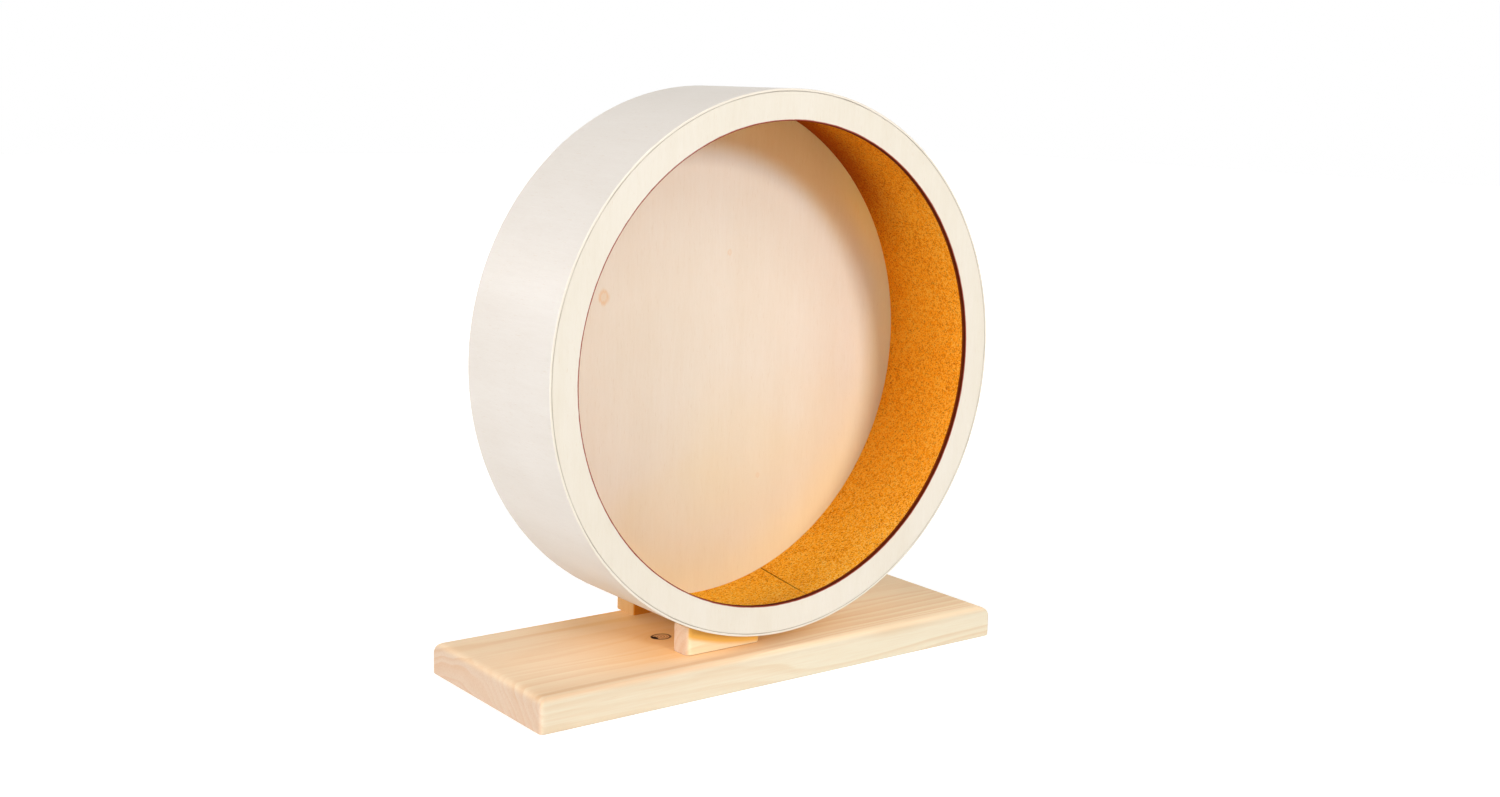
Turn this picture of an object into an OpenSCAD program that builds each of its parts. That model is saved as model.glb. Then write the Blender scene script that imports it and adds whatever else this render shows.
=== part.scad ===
// Rodent exercise wheel: a cork-lined plywood drum, open at the front, that turns on one
// ball bearing in an upright at the back of a flat pine base.
// The origin is the centre of the base's underside. +Z is up, the axle lies along Y, and
// the drum opens towards -Y. All sizes are in millimetres.

/* [Drum] */
// Outer diameter of the drum
wheel_d = 300; // [260:5:340]
// Width of the drum along the axle
drum_w = 84; // [70:1:92]
// Thickness of the bent plywood skin
skin_t = 1.5; // [1:0.1:3]
// Thickness of the front ring
ring_t = 3; // [2:0.5:6]
// Width of the front ring's face, from the outside of the drum to the opening
ring_face_w = 17; // [8:1:40]
// Thickness of the back disc
disc_t = 3; // [2:0.5:6]
// Thickness of the cork running surface
cork_t = 2.5; // [1:0.5:5]
// Width of the slit where the two ends of the cork strip meet
cork_seam_w = 0.4; // [0.2:0.1:1]
// Place of the cork's seam, in degrees from the lowest point towards +X
cork_seam_at = 17; // [-90:1:90]
// Slant of the cork's seam, in degrees from the axle's direction
cork_seam_slant = 8; // [-15:1:15]
// Width of the slit where the two ends of the skin meet
skin_seam_w = 0.3; // [0.2:0.1:1]
// Place of the skin's seam, in degrees from the lowest point towards +X
skin_seam_at = 60; // [-90:1:90]

/* [Hub] */
// Diameter of the plywood hub plate behind the disc
hub_d = 80; // [50:2:120]
// Thickness of the hub plate
hub_t = 8; // [7:0.5:12]
// Gap between the turning hub plate and the upright
hub_gap = 1; // [0.5:0.1:3]

/* [Axle bolt] */
// Diameter of the axle bolt, and so of the bearing's bore
axle_d = 8; // [7:0.5:9]
// Width of the bolt's head and of the nut across their flats
hex_af = 13; // [12:0.5:16]
// Height of the bolt's head
head_t = 5.3; // [4:0.1:6]
// Height of the nut's six-sided part
nut_hex_t = 6.5; // [5:0.1:9]
// Height of the round collar that holds the nut's locking ring
nut_collar_t = 1.5; // [1:0.1:3]
// Diameter of that collar
nut_collar_d = 11.4; // [10.5:0.1:12]
// Length of thread that shows past the nut
bolt_tail = 2.9; // [1:0.1:6]
// Outer diameter of the washer
washer_d = 16; // [14:0.5:24]
// Thickness of the washer
washer_t = 1.6; // [1:0.1:2.5]
// Outer diameter of the spacer and of the sleeve that press on the bearing's inner ring
spacer_d = 11.6; // [11:0.1:12]
// Gap between the turning washer and the back of the upright
washer_gap = 1; // [0.5:0.1:3]
// Chamfer at the end of the bolt
bolt_chamfer = 0.8; // [0.4:0.1:1.5]

/* [Bearing] */
// Outer diameter of the bearing
bearing_d = 22; // [21:0.5:24]
// Width of the bearing
bearing_w = 7; // [6.5:0.5:9]
// Diameter of a ball
ball_d = 3.969; // [3.6:0.001:4.2]
// Number of balls
ball_count = 7; // [5:1:8]
// Radial distance from the balls' pitch circle to each ring's land
land_gap = 1.5; // [1.2:0.05:1.6]
// Radial thickness of the cage
cage_t = 1.8; // [1.2:0.1:2.2]
// Width of the cage along the axle
cage_w = 5; // [4.8:0.1:5.2]
// Thickness of a shield
shield_t = 0.35; // [0.2:0.05:0.5]
// Depth of a shield below the bearing's face
shield_inset = 0.25; // [0.1:0.05:0.4]
// Radial depth of the outer ring's seat for a shield
shield_seat = 0.6; // [0.4:0.05:0.8]

/* [Base] */
// Length of the base from left to right
base_l = 316; // [240:2:400]
// Depth of the base from front to back
base_d = 118; // [108:1:160]
// Thickness of the base
base_t = 18; // [15:1:24]
// Radius of the base's top edges
base_round = 6; // [2:0.5:8]
// Radius of the base's bottom edges
base_arris = 1; // [0.5:0.5:4]
// Radius of the base's corners, seen from above
base_corner = 3; // [1:0.5:20]

/* [Upright] */
// Width of the upright
post_w = 72; // [50:2:100]
// Thickness of the upright
post_t = 18; // [15:1:24]
// Radius of the upright's long edges
post_arris = 1; // [0.5:0.5:3]
// Gap between the drum and the top of the base
rim_gap = 8; // [7:0.5:20]
// Diameter of the hole behind the bearing, which its outer ring rests against
shoulder_d = 16; // [14:0.5:17]

/* [Stop block] */
// Distance of the stop block's left end from the middle of the base
stop_reach = 53.5; // [50:0.5:80]
// Length of the stop block
stop_l = 50; // [44:1:60]
// Thickness of the stop block
stop_t = 15; // [10:1:20]
// Height of the stop block at its tall end
stop_h = 16; // [12:1:24]
// Distance of the stop block behind the front of the drum
stop_inset = 13; // [10:1:25]
// Gap between the drum and the hollow top of the stop block
stop_gap = 1.2; // [0.6:0.1:3]
// Radius of the stop block's upright edges
stop_arris = 3; // [1:0.5:4]

/* [Screws] */
// Diameter of the upright's screws
post_screw_d = 4; // [3:0.5:5]
// Length of those screws inside the upright
post_screw_grip = 27; // [15:1:40]
// Distance between those screws
post_screw_gap = 40; // [30:1:46]
// Diameter of the stop block's screws
stop_screw_d = 3.5; // [3:0.5:4]
// Distance from the block's tall end to its first screw
stop_screw_inset = 10; // [8:0.5:14]
// Distance between the stop block's screws
stop_screw_gap = 20; // [14:1:24]
// Wood left above the tip of a stop block screw
stop_screw_cover = 1.2; // [0.8:0.1:3]
// Depth of a screw's head below the underside of the base
screw_sink = 0.3; // [0.1:0.1:1]

/* [Fits] */
// Radial clearance of the bolt in the bearing, the washer and the nut
shaft_fit = 0.04; // [0.02:0.01:0.1]
// Radial clearance of the bolt in the hub plate, the spacer and the sleeve
sleeve_fit = 0.15; // [0.1:0.05:0.3]
// Radial clearance of the bearing and of its shields in their seats
seat_fit = 0.02; // [0.01:0.01:0.05]
// Radial play of a ball in its races and in the cage
ball_play = 0.08; // [0.05:0.01:0.1]
// Gap between a shield and the bearing's inner ring
shield_gap = 0.3; // [0.2:0.05:0.5]
// Glue line between curved wooden faces
glue_line = 0.1; // [0.05:0.05:0.3]
// Clearance round the bolt's head in its pocket
head_fit = 0.2; // [0.1:0.05:0.4]
// Clearance round a screw in its hole
screw_fit = 0.05; // [0.02:0.01:0.15]

/* [Hidden] */
$fn = 128;

// A cut runs this far past the face that it opens
cut_over = 1;
// A cutter through a wall is this many times as thick as the wall
cutter_share = 2;

// Heights
drum_r = wheel_d / 2;
axle_z = base_t + rim_gap + drum_r;

// Places along the axle, from the back edge of the base towards the opening
post_y1 = base_d / 2;
post_y0 = post_y1 - post_t;
hub_y1 = post_y0 - hub_gap;
hub_y0 = hub_y1 - hub_t;
drum_y1 = hub_y0;
drum_y0 = drum_y1 - drum_w;
stop_y0 = drum_y0 + stop_inset;
stop_y1 = stop_y0 + stop_t;

// Places along the axle, from the bearing towards the back
bearing_y0 = post_y0;
bearing_y1 = bearing_y0 + bearing_w;
washer_y0 = post_y1 + washer_gap;
washer_y1 = washer_y0 + washer_t;
nut_y1 = washer_y1 + nut_hex_t + nut_collar_t;
bolt_y1 = nut_y1 + bolt_tail;
head_y0 = hub_y0 + head_fit;
head_y1 = head_y0 + head_t;

// Radii of the drum's layers
skin_ir = drum_r - skin_t;
panel_r = skin_ir - glue_line;
ring_ir = drum_r - ring_face_w;
cork_ir = panel_r - cork_t;

// Radii of the bearing
pitch_r = (axle_d + bearing_d) / 4;
inner_land_r = pitch_r - land_gap;
outer_land_r = pitch_r + land_gap;
seat_r = outer_land_r + shield_seat;
race_r = ball_d / 2 + ball_play;
shank_r = axle_d / 2 - shaft_fit;

// The stop block's ends and screws
stop_x0 = -stop_reach;
stop_x1 = stop_x0 + stop_l;
stop_screw_y = (stop_y0 + stop_y1) / 2;
stop_screw_xs = [stop_x0 + stop_screw_inset, stop_x0 + stop_screw_inset + stop_screw_gap];
stop_screw_tip = hollow_z(stop_screw_xs[1] + stop_screw_d / 2) - stop_screw_cover;
post_screw_y = (post_y0 + post_y1) / 2;
post_screw_xs = [-post_screw_gap / 2, post_screw_gap / 2];

// A screw's head and the flat at its tip, as shares of the shank's diameter
head_share = 2;
tip_share = 0.2;
// The cross recess in a screw's head, as shares of the shank's diameter
recess_l_share = 1.1;
recess_w_share = 0.22;
recess_t_share = 0.3;

// Height of the stop block's hollow top at x
function hollow_z(x) = axle_z - sqrt(pow(drum_r + stop_gap, 2) - x * x);

// Circumscribed radius of a hexagon from its width across flats
function hex_r(af) = af / 2 / cos(30);

// Moves children from the origin to the axle
module at_axle() {
    translate([0, 0, axle_z]) children();
}

// Extrudes an outline drawn in X and Z from y0 to y1
module slab(y0, y1) {
    translate([0, y1, 0]) rotate([90, 0, 0]) linear_extrude(y1 - y0) children();
}

// A round bar on the axle, from y0 to y1
module bar(r, y0, y1) {
    at_axle() slab(y0, y1) circle(r);
}

// A ring on the axle, from y0 to y1
module tube(outer_r, inner_r, y0, y1) {
    difference() {
        bar(outer_r, y0, y1);
        bar(inner_r, y0 - cut_over, y1 + cut_over);
    }
}

// A six-sided bar on the axle, with its corners up and down
module hex_bar(af, y0, y1) {
    at_axle() slab(y0, y1) rotate(30) circle(hex_r(af), $fn = 6);
}

// The corner of a square outside a quarter circle, at the origin and filling +X +Y
module corner_cut(r) {
    difference() {
        translate([-cut_over, -cut_over]) square(r + cut_over);
        translate([r, r]) circle(r);
    }
}

// A rectangle from the low corner to the high one, with its lower and upper corners rounded
module rounded_rect(low, high, lower_r, upper_r) {
    difference() {
        translate(low) square(high - low);
        translate(low) corner_cut(lower_r);
        translate([high.x, low.y]) mirror([1, 0]) corner_cut(lower_r);
        translate([low.x, high.y]) mirror([0, 1]) corner_cut(upper_r);
        translate(high) mirror([1, 0]) mirror([0, 1]) corner_cut(upper_r);
    }
}

// A slit through a curved layer of the drum, angle degrees from the lowest point
module seam_cut(outer_r, inner_r, width, angle, slant) {
    at_axle()
    rotate([0, -angle, 0])
    translate([0, (drum_y0 + drum_y1) / 2, -(outer_r + inner_r) / 2])
    rotate([0, 0, -slant])
    cube([width, drum_w * cutter_share, (outer_r - inner_r) * cutter_share], center = true);
}

// Moves children from the bearing's own frame, with its axis on Z, to the axle
module in_bearing() {
    translate([0, (bearing_y0 + bearing_y1) / 2, axle_z]) rotate([-90, 0, 0]) children();
}

// The groove that the balls run in
module race() {
    rotate_extrude() translate([pitch_r, 0]) circle(race_r, $fn = 64);
}

// Children at the place of each ball, with their +X pointing outwards
module at_balls() {
    for (i = [0 : ball_count - 1]) {
        rotate(i * 360 / ball_count) translate([pitch_r, 0, 0]) children();
    }
}

// A shield, in the bearing's own frame, on the side that +Z points to
module shield() {
    translate([0, 0, bearing_w / 2 - shield_inset - shield_t])
    difference() {
        cylinder(h = shield_t, r = seat_r - seat_fit);
        translate([0, 0, -cut_over])
        cylinder(h = shield_t + 2 * cut_over, r = inner_land_r + shield_gap);
    }
}

// The body of a countersunk screw that points up, wider by fit all round. Its head has a
// 90 degree cone, and the cone at its tip is one diameter long.
module screw_body(d, tip_z, fit) {
    shank_r = d / 2;
    head_r = shank_r * head_share;
    head_z = screw_sink + head_r - shank_r;
    translate([0, 0, screw_sink])
    cylinder(h = head_r - shank_r, r1 = head_r + fit, r2 = shank_r + fit);
    translate([0, 0, head_z])
    cylinder(h = tip_z - d - head_z, r = shank_r + fit);
    translate([0, 0, tip_z - d])
    cylinder(h = d + fit, r1 = shank_r + fit, r2 = shank_r * tip_share + fit);
}

module screw(d, tip_z) {
    difference() {
        screw_body(d, tip_z, 0);
        for (turn = [0, 90]) {
            rotate(turn)
            translate([0, 0, screw_sink])
            cube([d * recess_l_share, d * recess_w_share, d * recess_t_share * 2], center = true);
        }
    }
}

// The hole for that screw, open at the underside of the base
module screw_hole(d, tip_z) {
    screw_body(d, tip_z, screw_fit);
    translate([0, 0, -cut_over])
    cylinder(h = cut_over + screw_sink, r = d * head_share / 2 + screw_fit);
}

// Children at each of the upright's screws
module at_post_screws() {
    for (x = post_screw_xs) translate([x, post_screw_y, 0]) children();
}

// Children at each of the stop block's screws
module at_stop_screws() {
    for (x = stop_screw_xs) translate([x, stop_screw_y, 0]) children();
}

// Drum

module drum_skin() {
    color("linen")
    difference() {
        tube(drum_r, skin_ir, drum_y0, drum_y1);
        seam_cut(drum_r, skin_ir, skin_seam_w, skin_seam_at, 0);
    }
}

module front_ring() {
    color("antiquewhite") tube(panel_r, ring_ir, drum_y0, drum_y0 + ring_t);
}

module back_disc() {
    color("wheat") bar(panel_r, drum_y1 - disc_t, drum_y1);
}

module cork_lining() {
    color("darkorange")
    difference() {
        tube(panel_r, cork_ir, drum_y0 + ring_t, drum_y1 - disc_t);
        seam_cut(panel_r, cork_ir, cork_seam_w, cork_seam_at, cork_seam_slant);
    }
}

// Hub and axle, which turn with the drum

module hub_plate() {
    color("burlywood")
    difference() {
        bar(hub_d / 2, hub_y0, hub_y1);
        bar(axle_d / 2 + sleeve_fit, hub_y0 - cut_over, hub_y1 + cut_over);
        hex_bar(hex_af + 2 * head_fit, hub_y0 - cut_over, head_y1);
    }
}

module axle_bolt() {
    color("silver")
    union() {
        hex_bar(hex_af, head_y0, head_y1);
        bar(shank_r, head_y1, bolt_y1 - bolt_chamfer);
        translate([0, bolt_y1 - bolt_chamfer, axle_z])
        rotate([-90, 0, 0])
        cylinder(h = bolt_chamfer, r1 = shank_r, r2 = shank_r - bolt_chamfer);
    }
}

module front_spacer() {
    color("gainsboro") tube(spacer_d / 2, axle_d / 2 + sleeve_fit, hub_y1, bearing_y0);
}

module rear_sleeve() {
    color("gainsboro") tube(spacer_d / 2, axle_d / 2 + sleeve_fit, bearing_y1, washer_y0);
}

module rear_washer() {
    color("lightgray") tube(washer_d / 2, axle_d / 2, washer_y0, washer_y1);
}

module lock_nut() {
    color("silver")
    difference() {
        union() {
            hex_bar(hex_af, washer_y1, washer_y1 + nut_hex_t);
            bar(nut_collar_d / 2, washer_y1 + nut_hex_t, nut_y1);
        }
        bar(axle_d / 2, washer_y1 - cut_over, nut_y1 + cut_over);
    }
}

// Bearing

module bearing_inner_ring() {
    color("silver")
    difference() {
        tube(inner_land_r, axle_d / 2, bearing_y0, bearing_y1);
        in_bearing() race();
    }
}

module bearing_outer_ring() {
    color("silver")
    difference() {
        tube(bearing_d / 2, outer_land_r, bearing_y0, bearing_y1);
        in_bearing() race();
        bar(seat_r, bearing_y0 - cut_over, bearing_y0 + shield_inset + shield_t);
        bar(seat_r, bearing_y1 - shield_inset - shield_t, bearing_y1 + cut_over);
    }
}

module bearing_cage() {
    color("peru")
    in_bearing()
    difference() {
        cylinder(h = cage_w, r = pitch_r + cage_t / 2, center = true);
        cylinder(h = cage_w + 2 * cut_over, r = pitch_r - cage_t / 2, center = true);
        at_balls()
        rotate([0, 90, 0])
        cylinder(h = cage_t * cutter_share, r = race_r, center = true);
    }
}

module bearing_balls() {
    color("whitesmoke") in_bearing() at_balls() sphere(ball_d / 2, $fn = 48);
}

module bearing_front_shield() {
    color("lightgray") in_bearing() mirror([0, 0, 1]) shield();
}

module bearing_rear_shield() {
    color("lightgray") in_bearing() shield();
}

// Stand

module upright_post() {
    color("burlywood")
    difference() {
        intersection() {
            slab(post_y0, post_y1) {
                translate([-post_w / 2, base_t]) square([post_w, axle_z - base_t]);
                translate([0, axle_z]) circle(post_w / 2);
            }
            linear_extrude(axle_z + post_w)
            rounded_rect([-post_w / 2, post_y0], [post_w / 2, post_y1], post_arris, post_arris);
        }
        bar(bearing_d / 2 + seat_fit, post_y0 - cut_over, bearing_y1);
        bar(shoulder_d / 2, post_y0, post_y1 + cut_over);
        at_post_screws() screw_hole(post_screw_d, base_t + post_screw_grip);
    }
}

module base_board() {
    half_l = base_l / 2;
    half_d = base_d / 2;
    color("wheat")
    difference() {
        intersection() {
            linear_extrude(base_t)
            rounded_rect([-half_l, -half_d], [half_l, half_d], base_corner, base_corner);
            slab(-half_d, half_d)
            rounded_rect([-half_l, 0], [half_l, base_t], base_arris, base_round);
            rotate(90)
            slab(-half_l, half_l)
            rounded_rect([-half_d, 0], [half_d, base_t], base_arris, base_round);
        }
        at_post_screws() screw_hole(post_screw_d, base_t + post_screw_grip);
        at_stop_screws() screw_hole(stop_screw_d, stop_screw_tip);
    }
}

module front_stop_block() {
    color("sandybrown")
    difference() {
        intersection() {
            slab(stop_y0, stop_y1)
            translate([stop_x0, base_t])
            square([stop_l, stop_h]);
            linear_extrude(axle_z)
            rounded_rect([stop_x0, stop_y0], [stop_x1, stop_y1], stop_arris, stop_arris);
        }
        bar(drum_r + stop_gap, stop_y0 - cut_over, stop_y1 + cut_over);
        at_stop_screws() screw_hole(stop_screw_d, stop_screw_tip);
    }
}

module upright_screws() {
    color("goldenrod") at_post_screws() screw(post_screw_d, base_t + post_screw_grip);
}

module stop_block_screws() {
    color("goldenrod") at_stop_screws() screw(stop_screw_d, stop_screw_tip);
}

drum_skin();
front_ring();
back_disc();
cork_lining();
hub_plate();
axle_bolt();
front_spacer();
bearing_inner_ring();
rear_sleeve();
rear_washer();
lock_nut();
bearing_cage();
bearing_balls();
bearing_outer_ring();
bearing_front_shield();
bearing_rear_shield();
upright_post();
base_board();
front_stop_block();
upright_screws();
stop_block_screws();
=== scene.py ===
import math

import bmesh
import bpy
from mathutils import Euler, Matrix, Vector, noise


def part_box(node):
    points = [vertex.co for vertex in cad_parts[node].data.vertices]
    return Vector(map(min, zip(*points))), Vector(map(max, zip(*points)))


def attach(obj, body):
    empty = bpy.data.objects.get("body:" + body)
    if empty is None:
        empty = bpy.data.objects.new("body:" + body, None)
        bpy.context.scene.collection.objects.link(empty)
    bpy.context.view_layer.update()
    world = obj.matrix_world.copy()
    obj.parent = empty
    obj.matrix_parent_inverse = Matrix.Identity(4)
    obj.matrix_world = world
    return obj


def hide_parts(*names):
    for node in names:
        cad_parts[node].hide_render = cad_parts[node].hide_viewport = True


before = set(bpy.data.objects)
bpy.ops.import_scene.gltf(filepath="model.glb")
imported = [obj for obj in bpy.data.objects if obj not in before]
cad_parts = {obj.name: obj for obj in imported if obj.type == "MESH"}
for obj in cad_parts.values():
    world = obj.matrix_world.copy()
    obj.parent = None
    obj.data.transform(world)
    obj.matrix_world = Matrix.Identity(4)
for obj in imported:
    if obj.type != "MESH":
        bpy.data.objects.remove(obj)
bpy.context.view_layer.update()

# Units: the script works in metres, and sizes are written in millimetres times MM.
MM = 0.001

# Places and sizes from the frame
SKIN_LOW, SKIN_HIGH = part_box("drum_skin")
RING_LOW, RING_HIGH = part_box("front_ring")
DISC_LOW, DISC_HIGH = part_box("back_disc")
CORK_LOW, CORK_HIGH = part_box("cork_lining")
HUB_LOW, HUB_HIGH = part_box("hub_plate")
BASE_LOW, BASE_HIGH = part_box("base_board")
POST_LOW, POST_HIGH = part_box("upright_post")
STOP_LOW, STOP_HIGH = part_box("front_stop_block")
BOLT_LOW, BOLT_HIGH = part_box("axle_bolt")
NUT_LOW, NUT_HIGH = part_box("lock_nut")
WASHER_LOW, WASHER_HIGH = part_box("rear_washer")

DRUM_R = SKIN_HIGH.x
AXLE_Z = SKIN_HIGH.z - DRUM_R
PANEL_R = DISC_HIGH.x

# Sizes that a node's box doesn't give
SKIN_IR = DRUM_R - 1.5 * MM
SKIN_SEAM_W = 0.3 * MM
SKIN_SEAM_AT = math.radians(60)
RING_IR = DRUM_R - 17 * MM
CORK_IR = CORK_HIGH.x - 2.5 * MM
CORK_SEAM_W = 0.4 * MM
CORK_SEAM_AT = math.radians(17)
CORK_SEAM_SLANT = math.radians(8)
AXLE_R = 8 * MM / 2
HEX_AF = 13 * MM
HEAD_T = 5.3 * MM
NUT_HEX_T = 6.5 * MM
NUT_COLLAR_R = 11.4 * MM / 2
BEARING_R = 22 * MM / 2
BEARING_W = 7 * MM
SHOULDER_R = 16 * MM / 2
SEAT_FIT = 0.02 * MM
STOP_GAP = 1.2 * MM
STOP_ARRIS = 3 * MM
BASE_ROUND = 6 * MM
BASE_ARRIS = 1 * MM
BASE_CORNER = 3 * MM
POST_ARRIS = 1 * MM
DRUM_SEGMENTS = 320

# The screws' fit and places, and each kind's diameter and tip height
SCREW_FIT = 0.05 * MM
SCREW_SINK = 0.3 * MM
POST_SCREWS = ((-20 * MM, 50 * MM), (20 * MM, 50 * MM))
POST_SCREW_D = 4 * MM
POST_SCREW_TIP = 45 * MM
STOP_SCREWS = ((-43.5 * MM, -31.5 * MM), (-23.5 * MM, -31.5 * MM))
STOP_SCREW_D = 3.5 * MM
STOP_SCREW_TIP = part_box("stop_block_screws")[1].z

# Places of marks: the knot and the brown streak of the base, and the disc's knots and stains.
# A disc knot is x, z, half its width and its strength, and a stain x, z, two half sizes and its strength.
# The first stain is partly painted orange bounce light from the cork.
KNOT_X = -45.2 * MM
KNOT_Y = -1.2 * MM
KNOT_HALF_X = 5.7 * MM
KNOT_HALF_Y = 4.9 * MM
STREAK_Y = -49.5 * MM
STREAK_HALF_W = 4 * MM
DISC_KNOTS = (
    (-67 * MM, 209 * MM, 2.9 * MM, 0.45),
    (19 * MM, 231 * MM, 1.3 * MM, 0.25),
    (44 * MM, 96 * MM, 1.2 * MM, 0.2),
)
DISC_STAINS_AND_BOUNCE = ((60 * MM, 90 * MM, 85 * MM, 60 * MM, 0.25), (-20 * MM, 60 * MM, 60 * MM, 40 * MM, 0.2))

# The camera: place in metres, turns in degrees, lens and sensor in millimetres
CAMERA_PLACE = (-0.6037, -0.8100, 0.3283)
CAMERA_AZIMUTH = -37.352
CAMERA_DROP = 9.941
CAMERA_ROLL = 1.54
CAMERA_LENS = 43.2456
CAMERA_SENSOR = 36
CAMERA_CLIP = (0.01, 50)

# Light: the share of the white surroundings that lights the object, and what the lamps need
WORLD_LIGHT = 0.08
SOFTBOX_DISTANCE = 5.0
WHITE = (1.0, 1.0, 1.0)
WARM = (1.0, 0.995, 0.985)
WARMER = (1.0, 0.99, 0.975)
COOL = (1.0, 1.0, 1.03)
COOLER = (1.0, 1.0, 1.04)

# The floor: its size, what it gives back to the object, and how it is shown
FLOOR_HALF = 6.0
FLOOR_DROP = 0.05 * MM
FLOOR_BOUNCE = (0.92, 0.92, 0.92, 1)
FLOOR_SHADE = (0.5, 0.5, 0.5, 1)
FLOOR_GLOW_NEAR = 0.3
FLOOR_GLOW_FAR = 1.1
FLOOR_GLOW_LOW = 0.72


def srgb(red, green, blue):
    """A colour written as 0 to 255 screen values."""
    def linear(value):
        value /= 255
        return value / 12.92 if value <= 0.04045 else ((value + 0.055) / 1.055) ** 2.4

    return (linear(red), linear(green), linear(blue), 1.0)


# Shine of the woods, and of wood that the laser burnt
BIRCH_SHINE = 0.07
SKIN_SHINE = 0.3
PINE_SHINE = 0.06
BURNT_SHINE = 0.02

# Screen colours of the birch
BIRCH_PALE = srgb(228, 221, 211)
BIRCH_DEEP = srgb(220, 211, 199)
BIRCH_FLECK = srgb(200, 170, 132)
# A yellowish stain colour, also used for painted orange bounce light on the disc's lower right
BIRCH_STAIN_AND_BOUNCE = srgb(234, 208, 146)
BIRCH_KNOT = srgb(222, 164, 84)
RING_PALE = srgb(221, 214, 201)
RING_DEEP = srgb(215, 206, 189)
DISC_PALE = srgb(227, 217, 201)
DISC_DEEP = srgb(222, 209, 189)
SKIN_LAYER = srgb(222, 206, 180)
GLUE_LINE = srgb(146, 134, 118)
BURN_DARK = srgb(72, 24, 6)
BURN_LIGHT = srgb(118, 46, 12)
SCORCH = srgb(138, 34, 10)
PLY_LIGHT = srgb(150, 96, 52)
PLY_DARK = srgb(74, 38, 18)

# Screen colours of the cork
CORK_MID = srgb(249, 159, 18)
CORK_PALE = srgb(251, 190, 66)
CORK_DARK = srgb(208, 107, 5)
CORK_SPECK = srgb(142, 66, 8)
CORK_CRACK = srgb(160, 84, 12)
CORK_EDGE = srgb(110, 46, 10)
CORK_JOINT = srgb(120, 56, 8)

# Screen colours of the pine and of the base's knot
PINE_PALE = srgb(249, 226, 193)
PINE_DEEP = srgb(244, 210, 172)
PINE_LATE = srgb(227, 173, 116)
PINE_STREAK = srgb(214, 158, 100)
PINE_DASH = srgb(212, 160, 104)
# A warm heartwood colour, also used for painted warm shade under the drum and on the block
PINE_HEART_AND_SHADE = srgb(236, 172, 84)
PINE_END = srgb(212, 188, 167)
PINE_END_LATE = srgb(206, 164, 130)
PINE_END_PORE = srgb(190, 142, 106)
FOOT_LINE = srgb(112, 76, 46)
KNOT_HALO = srgb(232, 172, 104)
KNOT_HEART = srgb(210, 152, 104)
KNOT_RING = srgb(126, 72, 40)
KNOT_BARK = srgb(72, 32, 20)
KNOT_CRACK = srgb(24, 8, 8)

# Colours of the hardware
ZINC = (0.58, 0.59, 0.61, 1)
STEEL = (0.78, 0.79, 0.8, 1)
YELLOW_ZINC = (0.78, 0.64, 0.34, 1)
YELLOW_STAIN = (0.7, 0.6, 0.42, 1)
RING_NYLON = srgb(226, 222, 210)
CAGE_NYLON = srgb(224, 218, 200)

# Tints that multiply a colour in part of a piece. Many of them are painted light or shade, as said above
# each.
# Painted orange bounce light round the disc's rim and at its right side, and painted warm shadow at its
# upper right
DISC_RIM_PAINTED_BOUNCE = (1.08, 1.05, 0.87, 1)
DISC_UPPER_PAINTED_SHADE = (1.17, 0.96, 0.6, 1)
DISC_SIDE_PAINTED_BOUNCE = (1.12, 1.15, 0.98, 1)
# Painted shade and light on the cork: darker towards the disc and at the top, lighter towards the mouth and
# at the bottom
CORK_BACK_PAINTED_SHADE = (0.88, 0.7, 0.38, 1)
CORK_UPPER_PAINTED_SHADE = (0.5, 0.31, 0.55, 1)
CORK_FRONT_PAINTED_LIGHT = (1.04, 1.16, 1.7, 1)
CORK_LOW_PAINTED_LIGHT = (1.09, 1.32, 2.25, 1)
CORK_TOP_PAINTED_SHADE = (0.94, 0.77, 0.52, 1)
BASE_FRONT_TINT = (0.77, 0.87, 0.96, 1)
# Painted light on the base's top, from the middle to the right
BASE_RIGHT_PAINTED_LIGHT = (1.08, 1.09, 1.08, 1)
POST_TINT = (0.88, 0.83, 0.75, 1)
# Painted shade at the upright's foot, on its left side and its front
POST_LEFT_PAINTED_SHADE = (0.79, 0.72, 0.57, 1)
POST_FRONT_PAINTED_SHADE = (0.88, 0.52, 0.1, 1)
BLOCK_FRONT_TINT = (0.915, 1.01, 1.03, 1)


# Camera, light and floor
def in_scene(name, data):
    thing = bpy.data.objects.new(name, data)
    bpy.context.scene.collection.objects.link(thing)
    return thing


def make_camera():
    data = bpy.data.cameras.new("camera")
    data.sensor_width = CAMERA_SENSOR
    data.sensor_fit = "HORIZONTAL"
    data.lens = CAMERA_LENS
    data.clip_start, data.clip_end = CAMERA_CLIP
    camera = in_scene("camera", data)
    place = Matrix.Translation(CAMERA_PLACE)
    for degrees, axis in ((CAMERA_AZIMUTH, "Z"), (90 - CAMERA_DROP, "X"), (CAMERA_ROLL, "Z")):
        place = place @ Matrix.Rotation(math.radians(degrees), 4, axis)
    camera.matrix_world = place
    bpy.context.scene.camera = camera


def add_lamp(name, kind, colour, azimuth, elevation, energy):
    """A lamp. Azimuth is the side that its light comes from, in degrees from -Y towards +X."""
    data = bpy.data.lights.new(name, kind)
    data.energy = energy
    data.color = colour
    lamp = in_scene(name, data)
    lamp.rotation_euler = Euler((math.radians(90 - elevation), 0, math.radians(azimuth)))
    return lamp


def sun(name, colour, azimuth, elevation, strength, softness):
    lamp = add_lamp(name, "SUN", colour, azimuth, elevation, strength)
    lamp.data.angle = math.radians(softness)
    return lamp


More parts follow.
